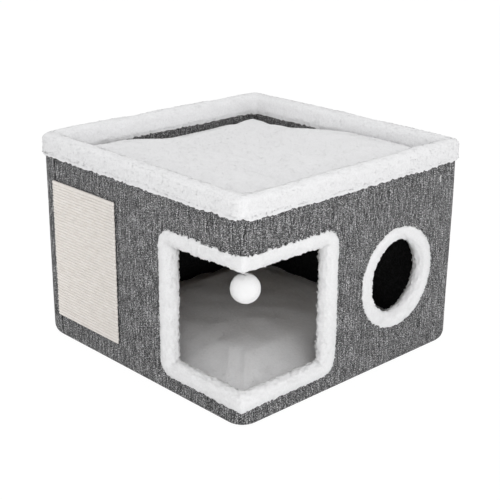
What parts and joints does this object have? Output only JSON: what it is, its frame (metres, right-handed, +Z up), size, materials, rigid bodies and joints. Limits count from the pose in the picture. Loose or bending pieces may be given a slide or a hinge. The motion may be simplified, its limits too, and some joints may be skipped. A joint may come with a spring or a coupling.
{
  "type": "pet house",
  "caption": "Square fabric-covered pet house with a doorway round one corner, a round window, a scratching pad, a hanging toy ball and a cushioned roof inside a plush rim.",
  "frame": {"origin": "on the floor, under the middle of the house", "axes": "+Z up, front wall with the round window towards -Y, wall with the scratching pad towards -X"},
  "size_m": [0.5128, 0.5128, 0.366],
  "materials": {
    "board": "bare fibreboard",
    "tape": "woven tape",
    "linen": "grey melange linen weave",
    "lining": "black non-woven felt",
    "plush": "short-pile white plush",
    "sisal": "ribbed sisal mat",
    "cord": "white braided cord and ribbon"
  },
  "bodies": {
    "house": {"front_board": "board", "rear_board": "board", "left_front_board": "board", "left_rear_board": "board", "left_fold_tape": "tape", "right_front_board": "board", "right_rear_board": "board", "right_fold_tape": "tape", "outer_cover": "linen", "cave_lining": "lining", "recess_facing": "linen", "base_sheet": "lining", "base_board": "board", "plush_rim": "plush", "doorway_trim": "plush", "window_trim": "plush", "scratch_pad": "sisal", "front_ledge": "board", "rear_ledge": "board", "left_front_ledge": "board", "left_rear_ledge": "board", "right_front_ledge": "board", "right_rear_ledge": "board", "toy_tab": "cord"},
    "platform": {"platform_board": "board"},
    "roof_pad": {"roof_cushion": "plush"},
    "floor_pad": {"floor_cushion": "plush"},
    "toy_link": {"toy_knot": "cord"},
    "toy": {"toy_cord": "cord", "toy_ball": "plush"}
  },
  "joints": [
    {"name": "platform_lift", "type": "slide", "parent": "house", "child": "platform", "axis": [0, 0, 1], "range_m": [0, 0.12]},
    {"name": "roof_cushion_lift", "type": "slide", "parent": "platform", "child": "roof_pad", "axis": [0, 0, 1], "range_m": [0, 0.09]},
    {"name": "floor_cushion_lift", "type": "slide", "parent": "house", "child": "floor_pad", "axis": [0, 0, 1], "range_m": [0, 0.05]},
    {"name": "toy_swing_front", "type": "hinge", "parent": "house", "child": "toy_link", "pos_m": [-0.2194, -0.224, 0.2619], "axis": [1, 0, 0], "range_deg": [-15, 35]},
    {"name": "toy_swing_side", "type": "hinge", "parent": "toy_link", "child": "toy", "pos_m": [-0.2194, -0.224, 0.2619], "axis": [0, -1, 0], "range_deg": [-25, 35]}
  ]
}
